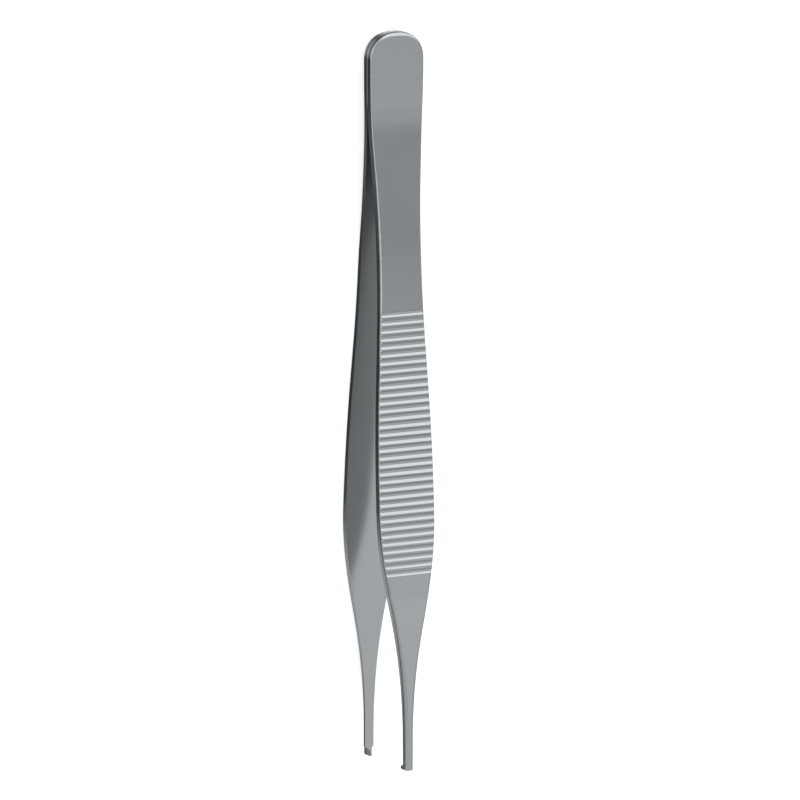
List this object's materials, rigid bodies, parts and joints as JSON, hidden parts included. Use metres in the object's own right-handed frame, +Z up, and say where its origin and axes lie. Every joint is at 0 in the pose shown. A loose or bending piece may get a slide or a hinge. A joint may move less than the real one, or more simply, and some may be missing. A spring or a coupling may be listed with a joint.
{
  "type": "toothed thumb forceps",
  "caption": "Toothed thumb forceps lying on one arm: spring steel arms welded at the butt, cross-grooved grips, slim tips with interlocking teeth.",
  "frame": {"origin": "middle of the plan box, on the plane that the lower arm's grip lies on", "axes": "+Y from the tips to the butt, +X across the blades, +Z up from the plane that it lies on"},
  "size_m": [0.0104, 0.1202, 0.0157],
  "materials": {
    "satin_steel": "satin"
  },
  "bodies": {
    "root": {"upper_arm_two_teeth": "satin_steel", "lower_arm_one_tooth": "satin_steel"}
  },
  "joints": []
}
